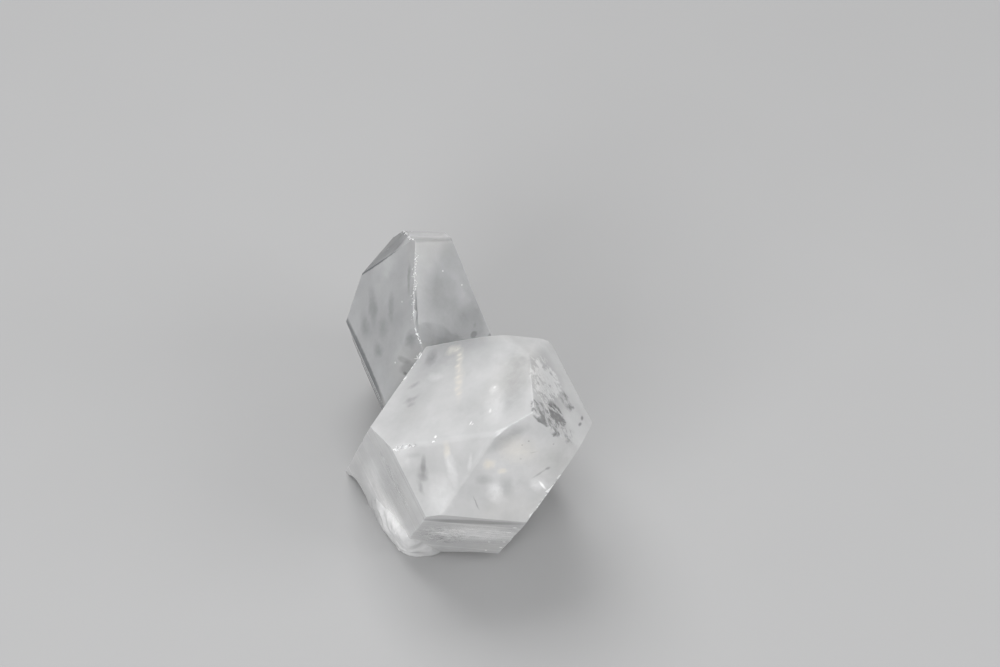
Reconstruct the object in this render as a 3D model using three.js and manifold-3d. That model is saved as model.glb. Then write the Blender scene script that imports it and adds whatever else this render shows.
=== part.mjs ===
// Clear quartz cluster: two pointed crystals grown together on one broken root.
//
// Units are millimetres and +Z is up. The cluster stands on Z = 0, and the origin is the
// centre of the box around it, at its lowest height.
//
// Each crystal is built from the angles that all quartz shares: six prism faces in a
// hexagon around the crystal's own axis, and six pyramid faces that close its point. Only
// the distance of each face from the crystal's centre differs from crystal to crystal.

import * as THREE from 'three';
import { ConvexGeometry } from 'three/addons/geometries/ConvexGeometry.js';
import { mergeVertices } from 'three/addons/utils/BufferGeometryUtils.js';
import Module from 'manifold-3d';

const wasm = await Module();
wasm.setup();

// ---------------------------------------------------------------------------------------
// Driving dimensions
// ---------------------------------------------------------------------------------------

const FACES = 6;
const FACE_STEP = 360 / FACES;
// Angle between a crystal's axis and the normal of each of its pyramid faces.
const PYRAMID_ANGLE = 51.79;

// A crystal leans by `tilt` from the vertical towards `heading` and is turned by `spin`
// about its axis. `prism` and `pyramid` hold the distance of face 0 to 5 from the centre.
// `root` is how far the axis runs down from the centre before the root is broken off.
const FRONT = {
  centre: [5.4, -20.6, 37.0],
  tilt: 27.3,
  heading: -66.8,
  spin: -143.6,
  prism: [25.4, 24.0, 22.7, 19.6, 23.5, 23.4],
  pyramid: [18.7, 23.6, 24.4, 30.8, 25.9, 27.3],
  root: 75,
};
const BACK = {
  centre: [-13.1, 20.5, 36.4],
  tilt: 14.6,
  heading: -122.6,
  spin: -155.8,
  prism: [18.8, 15.4, 16.4, 25.0, 20.5, 15.9],
  pyramid: [23.3, 18.4, 12.5, 19.5, 18.0, 27.0],
  root: 75,
};

// Growth ledges run across every prism face, from `top` to `bottom` on the crystal's axis.
// They are between `shortest` and `longest` long and step in or out by up to `riser` over a
// ramp of length `ramp`. Part of each step, its `carry`, is undone along the next ledge.
const LEDGES = {
  top: 14, bottom: -62, shortest: 1.5, longest: 7.0, riser: 0.28, ramp: 0.5, carry: 0.6,
};
// How much each prism face swells outwards from its shoulder down to the root.
const FLARE = { front: [0.3, 1.3, 0.4, 0, 0.3, 0.5], back: [0.5, 1.5, 0.8, 0.4, 0.3, 0.9] };
// Extra thickness of a crystal before its ledges are cut, more than any swell.
const SKIN = 4;

// Corners and edges that were knocked off.
const CORNER_CUTS = {
  front: [
    { faces: ['r0', 'r1', 'r2'], along: [1.6, 2.6, 3.6] },
    { faces: ['r4', 'm4', 'm5'], along: [1.6, 2.0, 1.6] },
  ],
  back: [{ faces: ['r0', 'r4', 'm5'], along: [1.0, 1.0, 1.0] }],
};

// Places where small chips ran along an edge: between two corners of the crystal, from
// `start` to `end` of the way, `count` chips of about `size` across.
const CHIPPED_EDGES = {
  front: [
    { from: ['r2', 'm2', 'm3'], to: ['r2', 'r3', 'm3'], start: 0.15, end: 0.85, count: 7, size: 1.3 },
    { from: ['r0', 'r1', 'm1'], to: ['r0', 'r1', 'r2'], start: 0, end: 0.35, count: 6, size: 0.7 },
    { from: ['r4', 'm3', 'm4'], to: ['r4', 'm4', 'm5'], start: 0.05, end: 0.9, count: 5, size: 0.9 },
    { from: ['r0', 'm5', 'm0'], to: ['r0', 'm0', 'm1'], start: 0.1, end: 0.5, count: 4, size: 0.8 },
  ],
  back: [
    { from: ['r0', 'r2', 'r4'], to: ['r2', 'r3', 'r4'], start: 0.1, end: 1, count: 22, size: 1.0 },
    { from: ['r0', 'r1', 'r2'], to: ['r0', 'r1', 'm0'], start: 0, end: 1, count: 6, size: 0.9 },
    { from: ['r2', 'r3', 'r4'], to: ['r3', 'r4', 'm4'], start: 0, end: 0.3, count: 6, size: 1.0 },
    { from: ['r0', 'm0', 'm5'], to: ['r0', 'm0', 'r1'], start: 0.1, end: 0.9, count: 5, size: 0.7 },
  ],
};

// The root stands on a flat break. Its near left foot swells into a smooth knob, the hull of
// these balls, and curved breaks scoop its rim and hollow its underside. Each break is part
// of a ball: `at` is its deepest point, and `into` points from there to the ball's centre.
const FOOT_BALLS = [
  { centre: [-11.7, -20.7, 1.0], radius: 8.3 },
  { centre: [-17.2, -15.0, 1.0], radius: 6.9 },
  { centre: [-15.3, -18.6, 8.4], radius: 5.6 },
  { centre: [-13.0, -28.3, 8.5], radius: 5.0 },
  { centre: [-13.6, -31.3, 12.6], radius: 3.5 },
  { centre: [-8.5, -23.5, 1.0], radius: 5.6 },
  { centre: [-21.6, -12.0, 7.5], radius: 4.6 },
];
const BREAKS = [
  { at: [-26.1, -6.6, 2.4], into: [-0.7, -0.35, -1.1], radius: 7 },
  { at: [-25.2, 13.0, 8.0], into: [-1, 0.5, -0.6], radius: 30 },
  { at: [-14.7, 39.5, 7.0], into: [-0.15, 1, -0.75], radius: 42 },
  { at: [9.3, 30.0, 12.0], into: [1, 0.8, -0.5], radius: 36 },
  { at: [19.3, 3.0, 8.0], into: [1, -0.1, -0.75], radius: 26 },
  { at: [-8.7, 20.0, 2.0], into: [0.1, 0.2, -1], radius: 64 },
  { at: [1.3, -10.0, 1.4], into: [0.1, -0.2, -1], radius: 60 },
];
// Ripples that a break leaves around its deepest point, and the sides of the whole ball.
const RIPPLE = { height: 0.22, spacing: 3.4, sides: 36 };

// Half-sharp splinters are missing where a chip ran: their width and length for a size of 1.
const SPLINTER = { width: 0.6, length: 1.2, smallest: 0.5, largest: 1.3 };

// Longer than anything in the cluster, for blocks that cut right through it.
const REACH = 140;

// ---------------------------------------------------------------------------------------
// Helpers
// ---------------------------------------------------------------------------------------

const radians = THREE.MathUtils.degToRad;

// Repeatable random numbers between 0 and 1.
function randomFrom(seed) {
  let state = seed;
  return () => {
    state = (state * 16807) % 2147483647;
    return state / 2147483647;
  };
}

// A closed three.js shape as a solid that can be joined and cut.
function solid(geometry, matrix) {
  const bare = geometry.clone();
  bare.deleteAttribute('normal');
  bare.deleteAttribute('uv');
  if (matrix) bare.applyMatrix4(matrix);
  const merged = mergeVertices(bare, 1e-4);
  return new wasm.Manifold(new wasm.Mesh({
    numProp: 3,
    vertProperties: new Float32Array(merged.attributes.position.array),
    triVerts: new Uint32Array(merged.index.array),
  }));
}

// A solid as a three.js geometry with flat faces.
function geometryOf(manifold) {
  const mesh = manifold.getMesh();
  const geometry = new THREE.BufferGeometry();
  geometry.setAttribute('position', new THREE.BufferAttribute(mesh.vertProperties, 3));
  geometry.setIndex(new THREE.BufferAttribute(mesh.triVerts, 1));
  const flat = geometry.toNonIndexed();
  flat.computeVertexNormals();
  return flat;
}

// ---------------------------------------------------------------------------------------
// One crystal
// ---------------------------------------------------------------------------------------

// Where a crystal's own frame lies in the cluster.
function placeOf(crystal) {
  const place = new THREE.Matrix4().makeTranslation(...crystal.centre);
  place.multiply(new THREE.Matrix4().makeRotationZ(radians(crystal.heading)));
  place.multiply(new THREE.Matrix4().makeRotationY(radians(crystal.tilt)));
  return place.multiply(new THREE.Matrix4().makeRotationZ(radians(crystal.spin)));
}

function prismNormal(face) {
  const azimuth = radians(face * FACE_STEP);
  return new THREE.Vector3(Math.cos(azimuth), Math.sin(azimuth), 0);
}

function pyramidNormal(face) {
  const lean = radians(PYRAMID_ANGLE);
  const normal = prismNormal(face).multiplyScalar(Math.sin(lean));
  return normal.setZ(Math.cos(lean));
}

// The plane of a face, named by a letter (m for prism, r for pyramid) and its number.
function facePlane(crystal, name) {
  const face = Number(name.slice(1));
  const isPrism = name.startsWith('m');
  const normal = isPrism ? prismNormal(face) : pyramidNormal(face);
  const distance = isPrism ? crystal.prism[face] : crystal.pyramid[face];
  return { normal, distance };
}

// The point where three planes meet, or null where they don't.
function meet(a, b, c) {
  const matrix = new THREE.Matrix3().set(
    ...a.normal.toArray(), ...b.normal.toArray(), ...c.normal.toArray());
  if (Math.abs(matrix.determinant()) < 1e-6) return null;
  return new THREE.Vector3(a.distance, b.distance, c.distance).applyMatrix3(matrix.invert());
}

// The convex body behind a set of planes.
function convexBody(planes) {
  const corners = [];
  for (let i = 0; i < planes.length; i += 1) {
    for (let j = i + 1; j < planes.length; j += 1) {
      for (let k = j + 1; k < planes.length; k += 1) {
        const point = meet(planes[i], planes[j], planes[k]);
        const inside = point && planes.every((p) => p.normal.dot(point) < p.distance + 1e-6);
        if (inside) corners.push(point);
      }
    }
  }
  return new ConvexGeometry(corners);
}

// The plane that knocks a corner off, `along` millimetres down each of its three edges.
function cornerPlane(crystal, cut) {
  const planes = cut.faces.map((name) => facePlane(crystal, name));
  const corner = meet(...planes);
  const inner = new THREE.Vector3();
  planes.forEach((plane) => inner.sub(plane.normal));
  const points = [[0, 1], [1, 2], [2, 0]].map(([i, j], index) => {
    const edge = planes[i].normal.clone().cross(planes[j].normal).normalize();
    const other = planes[3 - i - j].normal;
    if (edge.dot(other) > 0) edge.negate();
    return corner.clone().addScaledVector(edge, cut.along[index]);
  });
  const normal = points[1].clone().sub(points[0]).cross(points[2].clone().sub(points[0]));
  normal.normalize();
  if (normal.dot(inner) > 0) normal.negate();
  return { normal, distance: normal.dot(points[0]) };
}

// What lies outside one prism face: a block whose inner side carries the growth ledges.
function ledgeBlock(crystal, face, flare, seed) {
  const random = randomFrom(seed);
  const surface = crystal.prism[face];
  const far = surface + 3 * SKIN;
  const height = LEDGES.top - LEDGES.bottom;
  const outline = [[REACH, far], [REACH, surface]];
  let along = LEDGES.top;
  let step = 0;
  while (along > LEDGES.bottom) {
    const swell = flare * (LEDGES.top - along) / height;
    const next = (2 * random() - 1) * LEDGES.riser;
    outline.push([along, surface + swell + step]);
    outline.push([along - LEDGES.ramp, surface + swell + next]);
    step = next * LEDGES.carry;
    along -= LEDGES.ramp + LEDGES.shortest + (LEDGES.longest - LEDGES.shortest) * random();
  }
  outline.push([-REACH, surface + flare]);
  outline.push([-REACH, far]);
  const shape = new THREE.Shape(outline.map(([x, y]) => new THREE.Vector2(x, y)));
  const block = new THREE.ExtrudeGeometry(shape, { depth: REACH, bevelEnabled: false });
  block.translate(0, 0, -REACH / 2);
  const out = prismNormal(face);
  const axis = new THREE.Vector3(0, 0, 1);
  const frame = new THREE.Matrix4().makeBasis(axis, out, axis.clone().cross(out));
  return solid(block, frame);
}

function cornerPoint(crystal, names) {
  return meet(...names.map((name) => facePlane(crystal, name)));
}

// The small pieces that are missing along one edge, joined in one solid.
function edgeChips(crystal, edge, seed) {
  const random = randomFrom(seed);
  const first = cornerPoint(crystal, edge.from);
  const last = cornerPoint(crystal, edge.to);
  const chips = [];
  for (let index = 0; index < edge.count; index += 1) {
    const share = edge.start + (edge.end - edge.start) * (index + random()) / edge.count;
    const { smallest, largest } = SPLINTER;
    const size = edge.size * (smallest + (largest - smallest) * random());
    const turn = new THREE.Euler(...[1, 2, 3].map(() => 2 * Math.PI * random()));
    const place = new THREE.Matrix4().compose(
      first.clone().lerp(last, share),
      new THREE.Quaternion().setFromEuler(turn),
      new THREE.Vector3(size * SPLINTER.width, size * SPLINTER.width, size * SPLINTER.length),
    );
    chips.push(solid(new THREE.OctahedronGeometry(1, 0), place));
  }
  return chips.reduce((all, chip) => all.add(chip));
}

function crystalSolid(crystal, flares, cuts, chipped, seed) {
  const planes = [{ normal: new THREE.Vector3(0, 0, -1), distance: crystal.root }];
  for (let face = 0; face < FACES; face += 1) {
    const prism = facePlane(crystal, `m${face}`);
    planes.push({ normal: prism.normal, distance: prism.distance + SKIN });
    planes.push(facePlane(crystal, `r${face}`));
  }
  cuts.forEach((cut) => planes.push(cornerPlane(crystal, cut)));
  let body = solid(convexBody(planes));
  for (let face = 0; face < FACES; face += 1) {
    body = body.subtract(ledgeBlock(crystal, face, flares[face], seed + 31 * face));
  }
  chipped.forEach((edge, index) => {
    body = body.subtract(edgeChips(crystal, edge, seed + 13 * index));
  });
  return body.transform(placeOf(crystal).elements);
}

// ---------------------------------------------------------------------------------------
// Breaks and the foot
// ---------------------------------------------------------------------------------------

// The rippled ball that a curved break follows.
function breakBall(scoop) {
  const bands = Math.round(Math.PI * scoop.radius / RIPPLE.spacing);
  const profile = [];
  for (let band = 0; band <= bands; band += 1) {
    const polar = Math.PI * band / bands;
    const wave = band % 2 === 0 ? RIPPLE.height : -RIPPLE.height;
    const reach = scoop.radius + wave;
    profile.push(new THREE.Vector2(reach * Math.sin(polar), -reach * Math.cos(polar)));
  }
  profile[0].x = 0;
  profile[bands].x = 0;
  const ball = new THREE.LatheGeometry(profile, RIPPLE.sides);
  const into = new THREE.Vector3(...scoop.into).normalize();
  const turn = new THREE.Quaternion().setFromUnitVectors(new THREE.Vector3(0, 1, 0), into);
  const centre = new THREE.Vector3(...scoop.at).addScaledVector(into, scoop.radius);
  return solid(ball, new THREE.Matrix4().compose(centre, turn, new THREE.Vector3(1, 1, 1)));
}

function footSolid() {
  const points = [];
  FOOT_BALLS.forEach((ball) => {
    const surface = new THREE.IcosahedronGeometry(ball.radius, 3).attributes.position;
    for (let index = 0; index < surface.count; index += 1) {
      const point = new THREE.Vector3().fromBufferAttribute(surface, index);
      points.push(point.add(new THREE.Vector3(...ball.centre)));
    }
  });
  return solid(new ConvexGeometry(points));
}

// ---------------------------------------------------------------------------------------
// The cluster
// ---------------------------------------------------------------------------------------

const frontCrystal = crystalSolid(FRONT, FLARE.front, CORNER_CUTS.front, CHIPPED_EDGES.front, 101);
const backCrystal = crystalSolid(BACK, FLARE.back, CORNER_CUTS.back, CHIPPED_EDGES.back, 907);
let body = frontCrystal.add(backCrystal).add(footSolid());
BREAKS.forEach((scoop) => { body = body.subtract(breakBall(scoop)); });

const underground = new THREE.BoxGeometry(REACH, REACH, REACH);
body = body.subtract(solid(underground, new THREE.Matrix4().makeTranslation(0, 0, -REACH / 2)));

const quartz = new THREE.MeshStandardMaterial({ color: 0xd9dbdb, roughness: 0.12, metalness: 0 });
const mesh = new THREE.Mesh(geometryOf(body), quartz);
mesh.name = 'quartz_cluster';

const cluster = new THREE.Group();
cluster.add(mesh);

export default cluster;
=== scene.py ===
"""A cluster of two stout quartz crystals, milky to clear, grown together on a broken root.

The crystals are modelled on a bench in millimetres, joined, scooped by the breaks of the root,
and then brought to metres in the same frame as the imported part, which stands on Z = 0.
"""

import logging
import math
from collections.abc import Iterator
from contextlib import contextmanager
from dataclasses import dataclass, field, replace
from enum import Enum

import bpy
from mathutils import Matrix, Vector, noise


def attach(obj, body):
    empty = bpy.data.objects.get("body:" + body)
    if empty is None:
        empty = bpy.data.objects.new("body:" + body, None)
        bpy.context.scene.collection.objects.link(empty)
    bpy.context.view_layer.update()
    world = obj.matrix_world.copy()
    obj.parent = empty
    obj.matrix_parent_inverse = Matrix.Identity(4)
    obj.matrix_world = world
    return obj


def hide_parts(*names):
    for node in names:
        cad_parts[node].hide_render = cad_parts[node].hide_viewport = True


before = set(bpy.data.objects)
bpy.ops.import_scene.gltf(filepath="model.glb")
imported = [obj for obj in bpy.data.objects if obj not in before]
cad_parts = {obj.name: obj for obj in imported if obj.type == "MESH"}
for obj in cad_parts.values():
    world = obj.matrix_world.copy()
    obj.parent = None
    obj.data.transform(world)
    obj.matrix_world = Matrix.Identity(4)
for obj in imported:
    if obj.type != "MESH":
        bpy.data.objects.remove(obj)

LOG = logging.getLogger("quartz")
NODE = "quartz_cluster"
BODY = "root"

Triple = tuple[float, float, float]
Colour = tuple[float, float, float, float]

# One millimetre of the bench in metres.
MM = 0.001
FACES = 6
FACE_STEP = math.tau / FACES
# Angle between a crystal's axis and the normal of each of its pyramid faces.
PYRAMID_ANGLE = math.radians(51.79)
# Planes and points nearer than this, in millimetres, are one.
NEAR = 1e-5
# Rings are cut into a column in batches of this many, because one cut takes 100 at most.
RING_BATCH = 100
# Rings of a column that would lie nearer than this, in millimetres, are left out.
RING_GAP = 0.03
# Points nearer than this are merged, and slivers thinner than this dropped, in millimetres.
DOUBLED = 0.002
SLIVER = 0.001
# Faces that meet at less than this are shaded as one.
SMOOTH_ANGLE = math.radians(16)


class Dice:
    """Repeatable random numbers between 0 and 1."""

    factor = 16807
    modulus = 2147483647

    def __init__(self, seed: int) -> None:
        """Starts the row of numbers at a seed."""
        self.state = seed

    def roll(self) -> float:
        """Returns the next number."""
        self.state = self.state * self.factor % self.modulus
        return self.state / self.modulus

    def between(self, low: float, high: float) -> float:
        """Returns the next number, spread between two values."""
        return low + (high - low) * self.roll()


# ---- The bench: Blender's own tools, used on one piece at a time ----


@dataclass(frozen=True)
class Plane:
    """A plane by its outward normal and its distance from the origin."""

    normal: Vector
    distance: float

    @property
    def point(self) -> Vector:
        """The point of the plane nearest to the origin."""
        return self.normal * self.distance


def meet(planes: list[Plane]) -> Vector:
    """Finds where three planes meet.

    Args:
        planes: Three planes, no two of them parallel.

    Returns:
        Their common point.
    """
    normals = Matrix([plane.normal for plane in planes])
    return normals.inverted() @ Vector([plane.distance for plane in planes])


class Skin(Enum):
    """The finishes of the stone, in the order of its material slots."""

    FRONT = 0
    BACK = 1
    BROKEN = 2
    CHIPPED = 3


class Bench:
    """Modelling steps, each of which works on the one piece that it is given."""

    finishes: dict[Skin, bpy.types.Material] = {}

    @staticmethod
    def clear() -> None:
        """Deselects everything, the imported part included."""
        bpy.ops.object.select_all(action="DESELECT")

    @classmethod
    def take(cls, piece: bpy.types.Object) -> bpy.types.Object:
        """Makes a piece the only one selected, and the active one."""
        cls.clear()
        piece.select_set(True)
        bpy.context.view_layer.objects.active = piece
        return piece

    @classmethod
    def fresh(cls, name: str, skin: Skin) -> bpy.types.Object:
        """Names the primitive that was just added, and gives it its skin.

        Args:
            name: The piece's name.
            skin: The finish of all its faces.

        Returns:
            The piece, taken in hand.
        """
        piece = bpy.context.active_object
        piece.name = name
        piece.data.name = name
        for finish in cls.finishes.values():
            piece.data.materials.append(finish)
        for polygon in piece.data.polygons:
            polygon.material_index = skin.value
        return cls.take(piece)

    @classmethod
    @contextmanager
    def editing(cls, piece: bpy.types.Object) -> Iterator[None]:
        """Opens a piece's mesh with all of it selected, and closes it afterwards."""
        cls.take(piece)
        bpy.ops.object.mode_set(mode="EDIT")
        bpy.ops.mesh.select_all(action="SELECT")
        yield
        bpy.ops.object.mode_set(mode="OBJECT")

    @classmethod
    def slice_off(cls, piece: bpy.types.Object, plane: Plane) -> None:
        """Cuts away what lies outside a plane, and closes the cut."""
        with cls.editing(piece):
            bpy.ops.mesh.bisect(
                plane_co=plane.point, plane_no=plane.normal,
                use_fill=True, clear_outer=True, threshold=NEAR,
            )

    @classmethod
    def cut_rings(cls, piece: bpy.types.Object, parts: int) -> None:
        """Divides every upright edge of a column into equal parts, which leaves rings."""
        cls.take(piece)
        bpy.context.tool_settings.mesh_select_mode = (False, True, False)
        bpy.ops.object.mode_set(mode="EDIT")
        bpy.ops.mesh.select_all(action="DESELECT")
        bpy.ops.object.mode_set(mode="OBJECT")
        for edge in piece.data.edges:
            ends = [piece.data.vertices[index].co for index in edge.vertices]
            edge.select = abs(ends[0].z - ends[1].z) > NEAR
        bpy.ops.object.mode_set(mode="EDIT")
        bpy.ops.mesh.subdivide(number_cuts=parts - 1)
        bpy.ops.object.mode_set(mode="OBJECT")

    @classmethod
    def settle(cls, piece: bpy.types.Object, place: Matrix) -> None:
        """Moves a piece by a matrix and writes its place into its mesh."""
        cls.take(piece)
        piece.matrix_world = place @ piece.matrix_world
        bpy.ops.object.transform_apply(location=True, rotation=True, scale=True)

    @classmethod
    def modify(cls, piece: bpy.types.Object, kind: str, **settings: object) -> None:
        """Gives a piece a modifier and applies it.

        Args:
            piece: The piece.
            kind: The modifier's type.
            **settings: The modifier's own settings.
        """
        cls.take(piece)
        modifier = piece.modifiers.new(kind.title(), kind)
        for name, value in settings.items():
            setattr(modifier, name, value)
        bpy.ops.object.modifier_apply(modifier=modifier.name)

    @classmethod
    def carve(cls, piece: bpy.types.Object, tool: bpy.types.Object, how: str) -> None:
        """Joins a tool to a piece or takes it away from it, and puts the tool away.

        Args:
            piece: The piece.
            tool: A closed solid, used up by this step.
            how: UNION or DIFFERENCE.
        """
        cls.modify(piece, "BOOLEAN", object=tool, operation=how, solver="MANIFOLD")
        bpy.data.objects.remove(tool, do_unlink=True)

    @classmethod
    def heal(cls, piece: bpy.types.Object) -> None:
        """Merges doubled points, drops slivers and turns every face outwards."""
        with cls.editing(piece):
            bpy.ops.mesh.remove_doubles(threshold=DOUBLED)
            bpy.ops.mesh.dissolve_degenerate(threshold=SLIVER)
            bpy.ops.mesh.normals_make_consistent(inside=False)


# ---- Shader maths ----


@dataclass(frozen=True)
class Grain:
    """A noise: how fine it is, in turns per millimetre, with its detail and roughness."""

    scale: float
    detail: float = 3.0
    rough: float = 0.5

    def at(self, place: bpy.types.NodeSocket) -> dict[str, object]:
        """Gives what a noise node's sockets hold, for a noise at these places."""
        return {"Vector": place, "Scale": self.scale, "Detail": self.detail,
                "Roughness": self.rough}


@dataclass(frozen=True)
class Glass:
    """Clear quartz: its colour, roughness, and the light that it takes in per metre."""

    colour: Colour
    rough: float
    absorb: Colour = (0.80, 0.82, 0.83, 1.0)
    density: float = 45.0


# Index of refraction of quartz.
QUARTZ_IOR = 1.544
# How far light spreads in milky quartz, in metres.
SCATTER = 1.5 * MM
# How far apart a noise's ends are; Blender's own noise lies between 0 and 1.
NOISE_SPREAD = 4.0
# Between which strengths of noise the milky veils give way to clear cells.
VEIL_EASE = (-0.05, 0.45)
# The weakest clear cell, and how much stronger the others may be.
CELL_LEAST = 0.55
CELL_VARIES = 0.6


class Value:
    """A number that varies over a surface, and may start a sum like any number."""

    def __init__(self, desk: "NodeDesk", socket: bpy.types.NodeSocket) -> None:
        """Wraps one socket of a material."""
        self.desk = desk
        self.socket = socket

    def _maths(self, operation: str, *terms: object) -> "Value":
        """Adds one Math node for an operation on some terms."""
        values = dict(enumerate(terms))
        return self.desk.value("ShaderNodeMath", {"operation": operation}, values)

    def __add__(self, other: object) -> "Value":
        """Adds."""
        return self._maths("ADD", self, other)

    def __sub__(self, other: object) -> "Value":
        """Takes away."""
        return self._maths("SUBTRACT", self, other)

    def __mul__(self, other: object) -> "Value":
        """Multiplies."""
        return self._maths("MULTIPLY", self, other)

    def clamped(self) -> "Value":
        """Keeps the value between 0 and 1."""
        settings = {"operation": "ADD", "use_clamp": True}
        return self.desk.value("ShaderNodeMath", settings, {0: self, 1: 0.0})

    def ease(self, low: float, high: float) -> "Value":
        """Rises smoothly from 0 at the low value to 1 at the high one."""
        settings = {"interpolation_type": "SMOOTHSTEP"}
        values = {"Value": self, "From Min": low, "From Max": high}
        return self.desk.value("ShaderNodeMapRange", settings, values)


class NodeDesk:
    """Builds one material's nodes."""

    def __init__(self, name: str) -> None:
        """Starts an empty material of this name."""
        self.material = bpy.data.materials.new(name)
        self.material.use_nodes = True
        self.tree = self.material.node_tree
        self.tree.nodes.clear()

    def node(self, kind: str, settings: dict | None = None,
             values: dict | None = None) -> bpy.types.Node:
        """Makes any one node.

        Args:
            kind: The node's type.
            settings: Its own settings, which are set first.
            values: What its sockets hold, by name or number: a number, a colour, a Value
                or another node's socket.

        Returns:
            The node.
        """
        made = self.tree.nodes.new(kind)
        for name, setting in (settings or {}).items():
            setattr(made, name, setting)
        for key, held in (values or {}).items():
            source = held.socket if isinstance(held, Value) else held
            if isinstance(source, bpy.types.NodeSocket):
                self.tree.links.new(source, made.inputs[key])
            else:
                made.inputs[key].default_value = source
        return made

    def value(self, kind: str, settings: dict | None = None,
              values: dict | None = None, output: int = 0) -> Value:
        """Makes a node and wraps one of its outputs as a Value."""
        return Value(self, self.node(kind, settings, values).outputs[output])

    def blend(self, share: object, first: object, second: object) -> bpy.types.NodeSocket:
        """Mixes two colours by a share of the second.

        Args:
            share: The share, from 0 to 1.
            first: The colour at 0.
            second: The colour at 1.

        Returns:
            The mix, from the node's colour sockets, which are inputs 6 and 7 and output 2.
        """
        settings = {"data_type": "RGBA", "clamp_factor": True}
        return self.node("ShaderNodeMix", settings, {0: share, 6: first, 7: second}).outputs[2]

    def millimetres(self) -> bpy.types.NodeSocket:
        """Gives each point's place on the object in millimetres."""
        place = self.node("ShaderNodeTexCoord").outputs["Object"]
        settings = {"operation": "SCALE"}
        return self.node("ShaderNodeVectorMath", settings, {0: place, "Scale": 1 / MM}).outputs[0]

    def shifted(self, place: bpy.types.NodeSocket, grain: Grain,
                reach: float) -> bpy.types.NodeSocket:
        """Moves places about by a noise, so that what is drawn there gets ragged.

        Args:
            place: The places.
            grain: The noise.
            reach: How far it may move a place, in millimetres.

        Returns:
            The moved places.
        """
        cloud = self.node("ShaderNodeTexNoise", None, grain.at(place)).outputs["Color"]
        settings = {"operation": "MULTIPLY_ADD"}
        values = {0: cloud, 1: (2 * reach,) * 3, 2: (-reach,) * 3}
        offset = self.node("ShaderNodeVectorMath", settings, values).outputs[0]
        return self.node("ShaderNodeVectorMath", {"operation": "ADD"},
                         {0: place, 1: offset}).outputs[0]

    def noise(self, place: bpy.types.NodeSocket, grain: Grain) -> Value:
        """Gives a noise about 0, mostly between -1 and 1."""
        drawn = self.value("ShaderNodeTexNoise", None, grain.at(place))
        return drawn * NOISE_SPREAD - NOISE_SPREAD / 2

    def windows(self, place: bpy.types.NodeSocket, scale: float) -> Value:
        """Draws clear cells of uneven strength, with milky veils between them."""
        veils = self.noise(place, Grain(scale, 4.0, 0.6))
        veils = self.value("ShaderNodeMath", {"operation": "ABSOLUTE"}, {0: veils})
        shades = self.value("ShaderNodeTexVoronoi", None, {"Vector": place, "Scale": scale},
                            output=1)
        return veils.ease(*VEIL_EASE) * (shades * CELL_VARIES + CELL_LEAST)

    def drawn_out(self, place: bpy.types.NodeSocket, turn: tuple,
                  stretch: Triple) -> bpy.types.NodeSocket:
        """Gives places in a turned and stretched frame."""
        settings = {"vector_type": "TEXTURE"}
        values = {"Vector": place, "Rotation": turn, "Scale": stretch}
        return self.node("ShaderNodeMapping", settings, values).outputs[0]

    def bump(self, height: Value, strength: float, distance: float) -> bpy.types.NodeSocket:
        """Turns a height into relief, in which a height of 1 is a distance in metres."""
        values = {"Height": height, "Strength": strength, "Distance": distance}
        return self.node("ShaderNodeBump", None, values).outputs[0]

    def quartz(self, milk: Value, colour: bpy.types.NodeSocket, rough: float,
               bump: bpy.types.NodeSocket, glass: Glass) -> bpy.types.Material:
        """Ends the material as a mix of clear glass and of milk that scatters light.

        Args:
            milk: The share of milk.
            colour: The milk's colour.
            rough: The milk's roughness.
            bump: The relief of both.
            glass: The clear part.

        Returns:
            The material.
        """
        stone = self.node("ShaderNodeBsdfPrincipled", None, {
            "Base Color": colour, "Roughness": rough, "IOR": QUARTZ_IOR,
            "Subsurface Weight": 1.0, "Subsurface Radius": (1.0, 1.0, 1.0),
            "Subsurface Scale": SCATTER, "Normal": bump})
        clear = self.node("ShaderNodeBsdfPrincipled", None, {
            "Base Color": glass.colour, "Roughness": glass.rough, "IOR": QUARTZ_IOR,
            "Transmission Weight": 1.0, "Normal": bump})
        surface = self.node("ShaderNodeMixShader", None, {
            0: milk.clamped(), 1: clear.outputs[0], 2: stone.outputs[0]})
        volume = self.node("ShaderNodeVolumeAbsorption", None, {
            "Color": glass.absorb, "Density": glass.density})
        return self.finish(surface, volume)

    def finish(self, surface: bpy.types.Node, volume: bpy.types.Node | None = None
               ) -> bpy.types.Material:
        """Ends the material with what its surface and its inside are made of."""
        values = {"Surface": surface.outputs[0]}
        if volume is not None:
            values["Volume"] = volume.outputs[0]
        self.node("ShaderNodeOutputMaterial", None, values)
        return self.material


# ---- Marks: what is seen inside the stone, and painted light and shade, face by face ----


class Mark(Enum):
    """A kind of mark, with what it adds to the milk, the brightness and the warm tint."""

    # A cloud mark is a milky cloud in the stone; broad ones are painted light that brightens most
    # of a face.
    CLOUD_AND_PAINTED_LIGHT = (0.10, 0.13, 0.0)
    SMOKE = (-0.10, -0.13, 0.0)
    # Most shade marks are painted shade that greys much of a face, and on two narrow faces of the
    # back crystal a painted dark reflection; the rest are grey places in the stone.
    SHADE = (0.12, -0.30, 0.0)
    BAND = (-0.40, -0.25, 0.0)
    WINDOW = (-0.45, -0.42, 0.0)
    CREAM = (0.03, 0.04, 0.75)
    FLECK = (0.30, 0.60, 0.0)
    CRACK = (-0.10, -0.30, 0.0)
    LINED = (0.0, 0.10, 0.0)
    WAVY = (0.40, 0.20, 0.0)
    FLUFF = (0.22, 0.11, 0.0)

    @property
    def milk(self) -> float:
        """How much milkier the stone gets."""
        return self.value[0]

    @property
    def light(self) -> float:
        """How much brighter it gets."""
        return self.value[1]

    @property
    def warm(self) -> float:
        """How much yellower it gets."""
        return self.value[2]


# The marks that keep a crisp shape.
CRISP = (Mark.SHADE, Mark.BAND, Mark.FLECK, Mark.CRACK, Mark.LINED, Mark.WAVY)


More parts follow.
